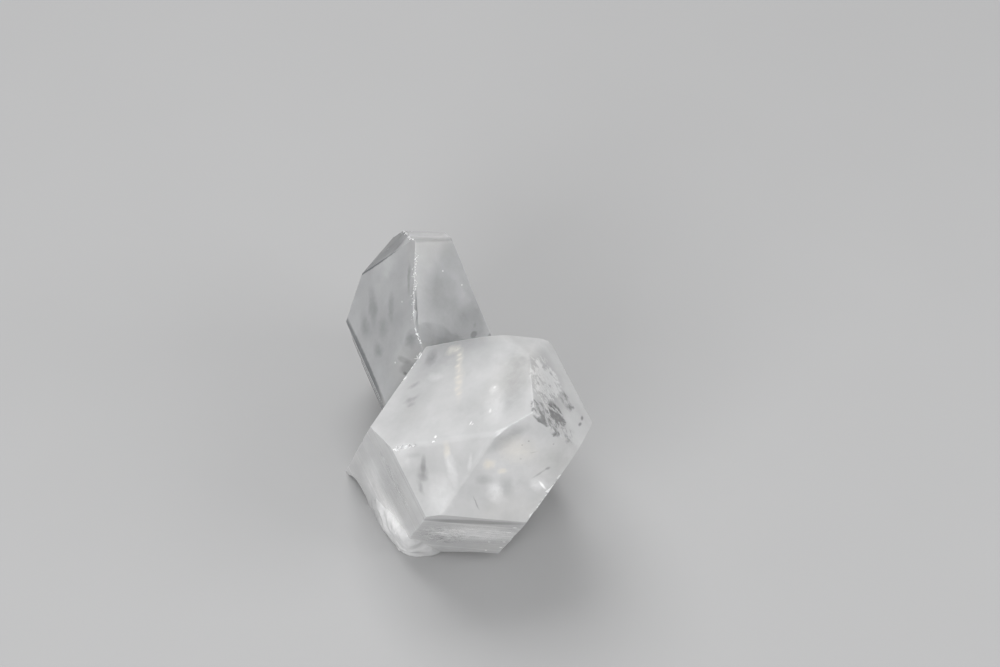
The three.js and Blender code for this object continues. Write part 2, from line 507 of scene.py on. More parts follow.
@dataclass(frozen=True)
class Patch:
    """One mark on a face: an oval, in millimetres.

    The oval's first half-width runs along the face as near to +X as it can, the second one
    up the face, and both are turned by `turn` degrees about the face's normal. A higher
    `edge` gives it a flatter middle and a sharper rim, and `depth` is how far off the face it
    still marks the stone.
    """

    kind: Mark
    face: str
    at: Triple
    size: tuple[float, float]
    turn: float = 0.0
    amount: float = 1.0
    edge: float = 1.4
    depth: float = 1.5


def marks_on(kind: Mark, face: str, *rows: tuple) -> tuple[Patch, ...]:
    """Makes the patches of one kind on one face.

    Args:
        kind: The kind of mark.
        face: The face that carries them.
        *rows: Each patch's place, size, turn, amount, edge and depth, in this order, as far
            as they differ from the usual ones.

    Returns:
        The patches.
    """
    return tuple(Patch(kind, face, *row) for row in rows)


# ---- The crystals ----


# What a crystal's seed and a face's number are multiplied by, for the random numbers of its
# ledges, of its fine lines and of its chips.
LEDGE_SEEDS = (1, 31)
STRIA_SEEDS = (7, 53)
CHIP_SEEDS = (3, 0)


@dataclass(frozen=True)
class Ledges:
    """Growth ledges across the prism faces, from `top` down to `bottom` on the axis."""

    top: float = 14.0
    bottom: float = -62.0
    shortest: float = 1.5
    longest: float = 7.0
    riser: float = 0.12
    ramp: float = 0.5
    carry: float = 0.6


@dataclass(frozen=True)
class Striae:
    """The fine lines between the ledges."""

    top: float = 13.5
    bottom: float = -50.0
    closest: float = 0.8
    widest: float = 3.2
    depth: float = 0.03
    ramp: float = 0.12


@dataclass(frozen=True)
class CornerKnock:
    """A corner that was knocked off, `along` millimetres down each of its three edges."""

    faces: tuple[str, str, str]
    along: Triple


@dataclass(frozen=True)
class RoundEdge:
    """An edge between two faces that is a little rounded."""

    faces: tuple[str, str]
    radius: float
    steps: int = 7


# A run of chips sways in two waves: the turns of the slow one for each of the quick one, and
# the quick one's height and lead.
SLOW_TURNS = 0.37
QUICK_HEIGHT = 0.6
QUICK_AHEAD = 1.0


@dataclass(frozen=True)
class ChipRun:
    """Small chips along an edge, from `start` to `end` of the way between two corners.

    Each chip strays from the edge by itself, and the run as a whole sways in slow bends.
    """

    first: tuple[str, str, str]
    last: tuple[str, str, str]
    start: float
    end: float
    count: int
    size: float
    stray: float = 0.1
    sway: float = 0.0
    bend: float = 9.0

    def wander(self, share: float, dice: Dice) -> float:
        """Tells how far to one side of its edge the run is at a share of its length."""
        turn = math.tau * self.bend * share
        slow = math.sin(SLOW_TURNS * turn) + QUICK_HEIGHT * math.sin(turn + QUICK_AHEAD)
        return self.sway * slow + dice.between(-self.stray, self.stray)


@dataclass(frozen=True)
class Splinter:
    """The shape of a small missing splinter, for a size of 1."""

    width: float = 0.45
    length: float = 1.3
    jag: float = 0.35
    evenness: float = 0.5
    lean: float = 0.7
    sizes: tuple[float, float] = (0.4, 1.3)
    last_seed: int = 9999

    def build(self, at: Vector, along: Vector, size: float, dice: Dice) -> bpy.types.Object:
        """Models one splinter.

        Args:
            at: Its middle, in the crystal's own frame.
            along: The way of the edge that it is missing from.
            size: Its rough size in millimetres.
            dice: Where its turn and shape come from.

        Returns:
            The splinter, in the crystal's own frame.
        """
        Bench.clear()
        bpy.ops.mesh.primitive_ico_sphere_add(subdivisions=1, radius=1.0)
        piece = Bench.fresh("splinter", Skin.CHIPPED)
        seed = int(dice.between(1, self.last_seed))
        wide, long = self.width * size, self.length * size
        with Bench.editing(piece):
            bpy.ops.transform.vertex_random(offset=self.jag, uniform=self.evenness, seed=seed)
            bpy.ops.transform.resize(value=(wide, wide, long))
        wander = Vector([dice.between(-self.lean, self.lean) for _ in range(3)])
        aim = Vector((0, 0, 1)).rotation_difference(along + wander)
        turn = aim.to_matrix().to_4x4() @ Matrix.Rotation(math.tau * dice.roll(), 4, "Z")
        Bench.settle(piece, Matrix.Translation(at) @ turn)
        return piece


SPLINTER = Splinter()


@dataclass
class Crystal:
    """One pointed crystal: six prism faces and six pyramid faces at quartz's own angles."""

    name: str
    centre: Triple
    tilt: float
    heading: float
    spin: float
    prism: tuple[float, ...]
    pyramid: tuple[float, ...]
    flare: tuple[float, ...]
    rounds: tuple[RoundEdge, ...]
    knocks: tuple[CornerKnock, ...]
    runs: tuple[ChipRun, ...]
    seed: int
    skin: Skin
    root: float = 75.0
    tip: float = 60.0
    ledges: Ledges = field(default_factory=Ledges)
    striae: Striae = field(default_factory=Striae)

    @property
    def place(self) -> Matrix:
        """Where the crystal's own frame lies in the cluster."""
        turned = Matrix.Rotation(math.radians(self.heading), 4, "Z")
        leant = Matrix.Rotation(math.radians(self.tilt), 4, "Y")
        spun = Matrix.Rotation(math.radians(self.spin), 4, "Z")
        return Matrix.Translation(self.centre) @ turned @ leant @ spun

    def plane(self, name: str) -> Plane:
        """Gives a face's plane in the crystal's own frame.

        Args:
            name: m for prism or r for pyramid, and the face's number.

        Returns:
            The plane.
        """
        face = int(name[1:])
        across = Vector((math.cos(face * FACE_STEP), math.sin(face * FACE_STEP), 0.0))
        if name.startswith("m"):
            return Plane(across, self.prism[face])
        normal = across * math.sin(PYRAMID_ANGLE)
        normal.z = math.cos(PYRAMID_ANGLE)
        return Plane(normal, self.pyramid[face])

    def corner(self, faces: tuple[str, str, str]) -> Vector:
        """Finds the corner of three faces in the crystal's own frame."""
        return meet([self.plane(name) for name in faces])

    def face_turn(self, name: str) -> Matrix:
        """Gives a face's own directions: along it near +X, up it, and out of it."""
        out = (self.place.to_3x3() @ self.plane(name).normal).normalized()
        along = (Vector((1, 0, 0)) - out * out.x).normalized()
        return Matrix((along, out.cross(along), out)).transposed()

    def placed(self, patches: tuple[Patch, ...]) -> tuple[tuple[Patch, Vector, Matrix], ...]:
        """Sets patches down on their faces.

        Args:
            patches: Marks on this crystal's faces.

        Returns:
            Each mark with its place, brought onto its face, and its face's directions.
        """
        placed = []
        for patch in patches:
            turn, point = self.face_turn(patch.face), Vector(patch.at)
            surface = self.place @ self.plane(patch.face).point
            out = turn.col[2]
            placed.append((patch, point - out * out.dot(point - surface), turn))
        return tuple(placed)

    def dice(self, seeds: tuple[int, int], face: int = 0) -> Dice:
        """Starts the random numbers of one use, on one face."""
        return Dice(seeds[0] * self.seed + seeds[1] * face)

    def ledge_line(self, face: int) -> list[tuple[float, float]]:
        """Draws one prism face's ledges.

        Args:
            face: The face's number.

        Returns:
            Heights on the axis, from the top down, each with the face's distance there.
        """
        shape, dice = self.ledges, self.dice(LEDGE_SEEDS, face)
        surface, height = self.prism[face], self.ledges.top - self.ledges.bottom
        line = [(self.tip, surface)]
        along, step = shape.top, 0.0
        while along > shape.bottom:
            swell = self.flare[face] * (shape.top - along) / height
            after = (2 * dice.roll() - 1) * shape.riser
            line.append((along, surface + swell + step))
            line.append((along - shape.ramp, surface + swell + after))
            step = after * shape.carry
            along -= shape.ramp + shape.shortest
            along -= (shape.longest - shape.shortest) * dice.roll()
        return line + [(-self.root, surface + self.flare[face])]

    def stria_line(self, face: int) -> list[tuple[float, float]]:
        """Draws one prism face's fine lines, as heights and depths from the top down."""
        shape, dice = self.striae, self.dice(STRIA_SEEDS, face)
        line, along, deep = [(self.tip, 0.0)], shape.top, 0.0
        while along > shape.bottom:
            line.append((along, deep))
            deep = -shape.depth * dice.roll() ** 2
            line.append((along - shape.ramp, deep))
            along -= shape.ramp + dice.between(shape.closest, shape.widest)
        return line + [(-self.root, 0.0)]

    @staticmethod
    def read_line(line: list[tuple[float, float]], along: float) -> float:
        """Reads a line, drawn from the top down, at one height."""
        for (upper, first), (lower, second) in zip(line, line[1:]):
            if upper >= along >= lower:
                if upper - lower < NEAR:
                    return second
                return first + (second - first) * (upper - along) / (upper - lower)
        return line[-1][1]

    def column(self) -> bpy.types.Object:
        """Models the six-sided column with its ledges and fine lines.

        Returns:
            The column, in the crystal's own frame.
        """
        ledges = [self.ledge_line(face) for face in range(FACES)]
        striae = [self.stria_line(face) for face in range(FACES)]
        heights = [self.tip]
        for height in sorted({point[0] for line in ledges + striae for point in line},
                             reverse=True):
            if heights[-1] - height > RING_GAP:
                heights.append(height)
        lowest, spare = heights.pop(), -len(heights) % RING_BATCH
        heights += [heights[-1] + (lowest - heights[-1]) * (step + 1) / (spare + 1)
                    for step in range(spare + 1)]
        Bench.clear()
        bpy.ops.mesh.primitive_cylinder_add(
            vertices=FACES, radius=max(self.prism), depth=self.tip + self.root,
            end_fill_type="NGON", location=(0, 0, (self.tip - self.root) / 2),
        )
        piece = Bench.fresh(self.name, self.skin)
        bpy.ops.object.transform_apply(location=True, rotation=True, scale=True)
        batches = (len(heights) - 1) // RING_BATCH
        Bench.cut_rings(piece, batches)
        Bench.cut_rings(piece, RING_BATCH)
        rings = len(heights) - 1
        for vertex in piece.data.vertices:
            ring = round((self.tip - vertex.co.z) / (self.tip + self.root) * rings)
            height = heights[ring]
            turn = math.atan2(vertex.co.y, vertex.co.x) / FACE_STEP
            before = math.floor(turn) % FACES
            sides = []
            for face in (before, (before + 1) % FACES):
                distance = self.read_line(ledges[face], height)
                distance += self.read_line(striae[face], height)
                sides.append(Plane(self.plane(f"m{face}").normal, distance))
            sides.append(Plane(Vector((0, 0, 1)), height))
            vertex.co = meet(sides)
        return piece

    def knock_plane(self, knock: CornerKnock) -> Plane:
        """Finds the plane that knocks a corner off."""
        planes = [self.plane(name) for name in knock.faces]
        corner = meet(planes)
        points = []
        for index, (first, second) in enumerate(((0, 1), (1, 2), (2, 0))):
            edge = planes[first].normal.cross(planes[second].normal).normalized()
            if edge.dot(planes[3 - first - second].normal) > 0:
                edge.negate()
            points.append(corner + edge * knock.along[index])
        normal = (points[1] - points[0]).cross(points[2] - points[0]).normalized()
        if normal.dot(sum((plane.normal for plane in planes), Vector())) < 0:
            normal.negate()
        return Plane(normal, normal.dot(points[0]))

    def round_planes(self, edge: RoundEdge) -> list[Plane]:
        """Finds the planes that round an edge, each of which touches the same cylinder."""
        first, second = (self.plane(name) for name in edge.faces)
        between = first.normal.angle(second.normal)
        axis = first.normal.cross(second.normal).normalized()
        sides = [Plane(face.normal, face.distance - edge.radius) for face in (first, second)]
        middle = meet([*sides, Plane(axis, 0.0)])
        planes = []
        for step in range(edge.steps):
            share = (step + 1) / (edge.steps + 1)
            normal = Matrix.Rotation(between * share, 3, axis) @ first.normal
            planes.append(Plane(normal, normal.dot(middle) + edge.radius))
        return planes

    def rounded_off(self, faces: set[str]) -> float:
        """Tells how deep the rounded edge of two faces lies below their sharp one."""
        for edge in self.rounds:
            if set(edge.faces) == faces:
                first, second = (self.plane(name).normal for name in edge.faces)
                return edge.radius * (1 / math.cos(first.angle(second) / 2) - 1)
        return 0.0

    def chip(self, piece: bpy.types.Object, run: ChipRun, dice: Dice) -> None:
        """Takes a run of splinters off an edge of the crystal.

        Args:
            piece: The crystal.
            run: Where the splinters are missing.
            dice: Where their places and shapes come from.
        """
        first, last = self.corner(run.first), self.corner(run.last)
        along = (last - first).normalized()
        faces = sorted(set(run.first) & set(run.last))
        normals = [self.plane(name).normal for name in faces]
        outward = (normals[0] + normals[1]).normalized()
        slope = math.tan(normals[0].angle(normals[1]) / 2)
        sideways = along.cross(outward)
        inward = self.rounded_off(set(faces))
        for index in range(run.count):
            share = run.start + (run.end - run.start) * (index + dice.roll()) / run.count
            aside = run.wander(share, dice)
            spot = first.lerp(last, share) + sideways * aside
            spot -= outward * max(inward, slope * abs(aside))
            size = run.size * dice.between(*SPLINTER.sizes)
            Bench.carve(piece, SPLINTER.build(spot, along, size, dice), "DIFFERENCE")

    def build(self) -> bpy.types.Object:
        """Models the whole crystal in its place, closed, with its chips."""
        piece = self.column()
        for face in range(FACES):
            Bench.slice_off(piece, self.plane(f"r{face}"))
        for edge in self.rounds:
            for plane in self.round_planes(edge):
                Bench.slice_off(piece, plane)
        for knock in self.knocks:
            Bench.slice_off(piece, self.knock_plane(knock))
        dice = self.dice(CHIP_SEEDS)
        for run in self.runs:
            self.chip(piece, run, dice)
        Bench.settle(piece, self.place)
        LOG.info("%s: %d faces", self.name, len(piece.data.polygons))
        return piece


FRONT = Crystal(
    name="front_crystal",
    centre=(5.4, -20.6, 37.0), tilt=27.3, heading=-66.8, spin=-143.6,
    prism=(25.4, 24.0, 22.6, 19.6, 23.15, 23.4),
    pyramid=(18.7, 23.6, 24.4, 30.8, 25.9, 27.3),
    flare=(0.3, 1.3, 0.4, 0.0, 0.3, 0.5),
    rounds=(
        RoundEdge(("r0", "r5"), 9.0),
        RoundEdge(("r4", "r5"), 5.0),
        RoundEdge(("r0", "r1"), 2.5),
        RoundEdge(("r1", "r2"), 1.5),
        RoundEdge(("r2", "r3"), 8.0),
        RoundEdge(("r3", "r4"), 3.0),
        RoundEdge(("r2", "r4"), 0.6, 4),
    ),
    knocks=(
        CornerKnock(("r0", "r1", "r2"), (1.6, 2.6, 3.6)),
        CornerKnock(("r4", "m4", "m5"), (1.6, 2.0, 1.6)),
    ),
    runs=(
        ChipRun(("r2", "m2", "m3"), ("r2", "r3", "m3"), 0.15, 0.85, 9, 1.2),
        ChipRun(("r0", "r1", "m1"), ("r0", "r1", "r2"), 0.0, 0.22, 18, 0.55, 0.35),
        ChipRun(("r0", "r1", "m1"), ("r0", "r1", "r2"), 0.38, 0.42, 2, 0.5, 0.2),
        ChipRun(("r4", "m3", "m4"), ("r4", "m4", "m5"), 0.05, 0.9, 7, 0.8),
        ChipRun(("r0", "m5", "m0"), ("r0", "m0", "m1"), 0.1, 0.5, 5, 0.7),
    ),
    seed=101,
    skin=Skin.FRONT,
)

BACK = Crystal(
    name="back_crystal",
    centre=(-13.1, 20.5, 36.4), tilt=14.6, heading=-122.6, spin=-155.8,
    prism=(18.8, 15.4, 16.4, 25.0, 20.5, 15.9),
    pyramid=(23.3, 18.4, 12.5, 19.5, 18.0, 27.0),
    flare=(0.5, 1.5, 0.8, 0.4, 0.3, 0.9),
    rounds=(
        RoundEdge(("r0", "r4"), 1.0, 4),
        RoundEdge(("r4", "r5"), 2.0),
        RoundEdge(("r2", "r3"), 5.0),
        RoundEdge(("r3", "r4"), 0.8, 4),
    ),
    knocks=(CornerKnock(("r0", "r4", "m5"), (1.0, 1.0, 1.0)),),
    runs=(
        ChipRun(("r0", "r2", "r4"), ("r2", "r3", "r4"), 0.13, 1.0, 70, 0.22, 0.3, 0.42),
        ChipRun(("r0", "r2", "r4"), ("r2", "r3", "r4"), 0.2, 0.95, 40, 0.2, 0.5, 0.2),
        ChipRun(("r0", "r1", "r2"), ("r0", "r1", "m0"), 0.0, 1.0, 18, 0.6, 0.3),
        ChipRun(("r2", "r3", "r4"), ("r3", "r4", "m4"), 0.0, 0.3, 18, 0.38, 0.2),
        ChipRun(("r0", "m0", "m5"), ("r0", "m0", "r1"), 0.1, 0.9, 6, 0.6),
    ),
    seed=907,
    skin=Skin.BACK,
)


# ---- The root: a scalloped knob and curved breaks ----


@dataclass(frozen=True)
class Ball:
    """A ball by its middle and radius."""

    centre: Triple
    radius: float


@dataclass
class Knob:
    """The broken knob at the near left foot, drawn round a few balls and scalloped."""

    balls: tuple[Ball, ...] = (
        Ball((-11.7, -20.7, 1.0), 8.3),
        Ball((-17.2, -15.0, 1.0), 6.9),
        Ball((-15.3, -18.6, 8.4), 5.6),
        Ball((-13.0, -28.3, 8.5), 5.0),
        Ball((-13.6, -31.3, 12.6), 3.5),
        Ball((-8.5, -23.5, 1.0), 5.6),
        Ball((-21.6, -12.0, 7.5), 4.3),
    )
    fineness: int = 4
    grain: float = 0.5
    dent: float = 0.9
    broad_scale: float = 0.14
    broad_share: float = 1.2
    fine_scale: float = 0.35
    fine_share: float = 0.25

    def build(self) -> bpy.types.Object:
        """Models the knob as one skin drawn tight round its balls, and dents it."""
        Bench.clear()
        parts = []
        for ball in self.balls:
            bpy.ops.mesh.primitive_ico_sphere_add(
                subdivisions=self.fineness, radius=ball.radius, location=ball.centre)
            parts.append(bpy.context.active_object)
        Bench.clear()
        for part in parts:
            part.select_set(True)
        bpy.context.view_layer.objects.active = parts[0]
        bpy.ops.object.join()
        bpy.ops.object.transform_apply(location=True, rotation=True, scale=True)
        with Bench.editing(parts[0]):
            bpy.ops.mesh.convex_hull()
        knob = Bench.fresh("foot_knob", Skin.FRONT)
        Bench.modify(knob, "REMESH", mode="VOXEL", voxel_size=self.grain)
        outward = [vertex.normal.copy() for vertex in knob.data.vertices]
        for vertex, out in zip(knob.data.vertices, outward):
            broad = abs(noise.noise(vertex.co * self.broad_scale))
            fine = 0.5 + 0.5 * noise.noise(vertex.co * self.fine_scale)
            share = min(1.0, self.broad_share * broad + self.fine_share * fine)
            vertex.co -= out * self.dent * share
        return knob


# The fewest rings and sides of a break's ball, and how much longer its sides are than its rings.
FEWEST_RINGS = 12
FEWEST_SIDES = 24
SIDE_STRETCH = 1.5
# The spread of a break that is a whole ball, in degrees.
WHOLE_BALL = 180.0
# Points nearer to the middle than this share of the radius are on the flat cut of a break's plug.
ON_BALL = 0.999
# How high the ripples start at the deepest point, for a rise of 1 from there to the rim.
FIRST_RIPPLE = 0.4
# The scale of a break's coarse grain, and its falloff, gap and number of octaves.
COARSE_SCALE = 0.35
COARSE_OCTAVES = (0.8, 2.0, 4)


@dataclass
class Break:
    """A curved break, part of a ball, rippled round its deepest point."""

    at: Triple
    into: Triple
    radius: float
    spread: float
    grain: float
    ripple: float = 0.22
    spacing: float = 3.4
    rough: float = 0.10

    def build(self) -> bpy.types.Object:
        """Models the stone that the break carried away.

        Returns:
            A closed, dished plug, to be taken away from the cluster.
        """
        wide = math.radians(self.spread)
        rings = max(FEWEST_RINGS, round(math.pi * self.radius / self.grain))
        reach = self.radius * math.sin(min(wide, math.pi / 2))
        sides = max(FEWEST_SIDES, round(math.tau * reach / (SIDE_STRETCH * self.grain)))
        Bench.clear()
        bpy.ops.mesh.primitive_uv_sphere_add(
            segments=sides, ring_count=rings, radius=self.radius)
        piece = Bench.fresh("break", Skin.BROKEN)
        if self.spread < WHOLE_BALL:
            Bench.slice_off(piece, Plane(Vector((0, 0, 1)), -self.radius * math.cos(wide)))
        for vertex in piece.data.vertices:
            out = vertex.co.normalized()
            if vertex.co.length < ON_BALL * self.radius:
                continue
            polar = math.acos(max(-1.0, min(1.0, -out.z)))
            wave = math.cos(math.tau * polar * self.radius / (2 * self.spacing))
            crest = self.ripple * (1 - 2 * abs(wave)) * (FIRST_RIPPLE + polar / wide)
            coarse = noise.fractal(vertex.co * COARSE_SCALE, *COARSE_OCTAVES)
            vertex.co = out * (self.radius + crest + self.rough * coarse)
        aim = Vector(self.into).normalized()
        turn = Vector((0, 0, 1)).rotation_difference(aim).to_matrix().to_4x4()
        centre = Vector(self.at) + aim * self.radius
        Bench.settle(piece, Matrix.Translation(centre) @ turn)
        return piece


BREAKS = (
    Break((-26.1, -6.6, 2.4), (-0.7, -0.35, -1.1), 7.0, WHOLE_BALL, 0.5, ripple=0.12,
          spacing=1.8),
    Break((-25.2, 13.0, 8.0), (-1.0, 0.5, -0.6), 30.0, 55.0, 0.8),
    Break((-14.7, 39.5, 7.0), (-0.15, 1.0, -0.75), 42.0, 62.0, 0.9),
    Break((9.3, 30.0, 12.0), (1.0, 0.8, -0.5), 36.0, 52.0, 0.9),
    Break((19.3, 3.0, 8.0), (1.0, -0.1, -0.75), 26.0, 62.0, 0.8),
    Break((-8.7, 20.0, 2.0), (0.1, 0.2, -1.0), 64.0, 36.0, 1.6),
    Break((1.3, -10.0, 1.4), (0.1, -0.2, -1.0), 60.0, 38.0, 1.6),
)


# ---- Finishes ----

# What makes the soft and the crisp marks ragged: a noise, and its reach in millimetres.
RAGGED_GRAIN, RAGGED_REACH = Grain(0.45), 0.9
TIDY_GRAIN, TIDY_REACH = Grain(0.9), 0.15
# The other noises in the stone, and how far some of them are drawn out along the crystal.
CLOUD_GRAIN = Grain(0.085)
STREAK_GRAIN = Grain(0.22, 4.0, 0.6)
WISP_GRAIN = Grain(0.55, 5.0, 0.65)
LINE_GRAIN = Grain(0.9, 5.0, 0.65)
WAVE_GRAIN = Grain(0.9, 5.0, 0.75)
TINT_GRAIN = Grain(0.05, 1.0)
SWELL_GRAIN = Grain(0.5)
STREAK_STRETCH = (1.0, 1.0, 3.0)
LINE_STRETCH = (7.0, 7.0, 0.9)
WAVE_STRETCH = (1.6, 1.6, 0.5)
# How fine the clear cells are, in turns per millimetre.
CELL_SCALE = 0.17
# How much a cloud brightens the stone, for each 1 that it makes it milkier.
CLOUD_LIGHT = 0.7
# How much wisps change windows, fluff and the cloudy marks. The rims of the first two lie
# between the two strengths given, and fluff fades in over a third of its strength.
WINDOW_WISP, WINDOW_RIM = 0.30, (0.20, 0.80)
FLUFF_WISP, FLUFF_RIM, FLUFF_FADE = 1.1, (0.25, 1.05), 3.0
CLOUDY_WISP, CLOUDY_REST = 0.35, 0.85


@dataclass(frozen=True)
class QuartzFinish:
    """Milky to clear quartz: clear glass and milk, mixed by clouds inside the stone."""

    name: str
    dull: Colour
    bright: Colour
    warm: Colour
    milk: float
    light: float
    turn: tuple
    patches: tuple[tuple[Patch, Vector, Matrix], ...]
    cloud: float = 0.04
    streak: float = 0.025
    tinge: float = 0.10
    swell: float = 0.2
    wave: float = 4.0
    gloss: float = 0.16
    relief: float = 0.25
    deep: float = 0.2 * MM
    clear: Glass = Glass((0.93, 0.95, 0.96, 1.0), 0.04)

    def marks(self, desk: NodeDesk, soft: bpy.types.NodeSocket,
              crisp: bpy.types.NodeSocket) -> dict[Mark, Value]:
        """Draws the patches, and adds up those of each kind.

        Args:
            desk: The material being built.
            soft: Ragged places on the stone in millimetres, for the cloudy marks.
            crisp: Less ragged ones, for the small sharp marks and the bands.

        Returns:
            How strong each kind of mark is at a place.
        """
        sums: dict[Mark, Value] = {}
        for patch, at, turn in self.patches:
            spin = Matrix.Rotation(math.radians(patch.turn), 3, "Z")
            settings = {"vector_type": "TEXTURE"}
            values = {
                "Vector": crisp if patch.kind in CRISP else soft, "Location": at,
                "Rotation": (turn @ spin).to_euler("XYZ"), "Scale": (*patch.size, patch.depth),
            }
            oval = desk.node("ShaderNodeMapping", settings, values).outputs[0]
            spot = desk.value("ShaderNodeTexGradient", {"gradient_type": "SPHERICAL"},
                              {"Vector": oval}, output=1)
            spot = (spot * patch.edge).clamped() * patch.amount
            sums[patch.kind] = sums[patch.kind] + spot if patch.kind in sums else spot
        return sums

    def make(self) -> bpy.types.Material:
        """Builds the material."""
        desk = NodeDesk(self.name)
        place = desk.millimetres()
        ragged = desk.shifted(place, RAGGED_GRAIN, RAGGED_REACH)
        tidy = desk.shifted(place, TIDY_GRAIN, TIDY_REACH)
        drawn = desk.drawn_out(ragged, self.turn, STREAK_STRETCH)
        lines = desk.noise(desk.drawn_out(tidy, self.turn, LINE_STRETCH), LINE_GRAIN)
        waves = desk.noise(desk.drawn_out(tidy, self.turn, WAVE_STRETCH), WAVE_GRAIN)
        cloud = desk.noise(ragged, CLOUD_GRAIN)
        streak = desk.noise(drawn, STREAK_GRAIN)
        wisp = desk.noise(ragged, WISP_GRAIN)
        milk = cloud * self.cloud + streak * self.streak + self.milk
        light = cloud * (CLOUD_LIGHT * self.cloud) + streak * self.streak + self.light
        tint = desk.noise(place, TINT_GRAIN) * self.tinge
        height = desk.noise(drawn, SWELL_GRAIN) * self.swell
        cells = desk.windows(ragged, CELL_SCALE)
        for kind, strength in self.marks(desk, ragged, tidy).items():
            if kind is Mark.WINDOW:
                strength = (strength + wisp * WINDOW_WISP).ease(*WINDOW_RIM) * cells
            elif kind is Mark.FLUFF:
                fluff = (strength + wisp * FLUFF_WISP).ease(*FLUFF_RIM)
                strength = fluff * (strength * FLUFF_FADE).clamped()
            elif kind is Mark.LINED:
                height = height + strength * lines
                strength = strength * lines
            elif kind is Mark.WAVY:
                height = height + strength * waves * self.wave
                strength = strength * waves
            elif kind not in CRISP:
                strength = strength * (wisp * CLOUDY_WISP + CLOUDY_REST)
            milk = milk + strength * kind.milk
            light = light + strength * kind.light
            if kind.warm:
                tint = tint + strength * kind.warm
        grey = desk.blend(light.clamped(), self.dull, self.bright)
        colour = desk.blend(tint.clamped(), grey, self.warm)
        bump = desk.bump(height, self.relief, self.deep)
        return desk.quartz(milk, colour, self.gloss, bump, self.clear)


@dataclass(frozen=True)
class RoughFinish:
    """Broken quartz: rough, with light caught in its splinters."""

    name: str
    dull: Colour
    bright: Colour
    milk: float
    rough: float
    grain: float
    relief: float
    patchiness: Grain = Grain(0.25, 4.0, 0.6)
    patch_milk: float = 0.1
    patch_shade: float = 0.3
    grain_shade: float = 0.15
    middle: float = 0.5
    deep: float = 0.15 * MM
    clear: Glass = Glass((0.95, 0.96, 0.97, 1.0), 0.15)

    def make(self) -> bpy.types.Material:
        """Builds the material."""
        desk = NodeDesk(self.name)
        place = desk.millimetres()
        patchy = desk.noise(place, self.patchiness)
        fine = desk.noise(place, replace(self.patchiness, scale=self.grain))
        light = patchy * self.patch_shade + fine * self.grain_shade + self.middle
        colour = desk.blend(light.clamped(), self.dull, self.bright)
        bump = desk.bump(fine, self.relief, self.deep)
        milk = patchy * self.patch_milk + self.milk
        return desk.quartz(milk, colour, self.rough, bump, self.clear)
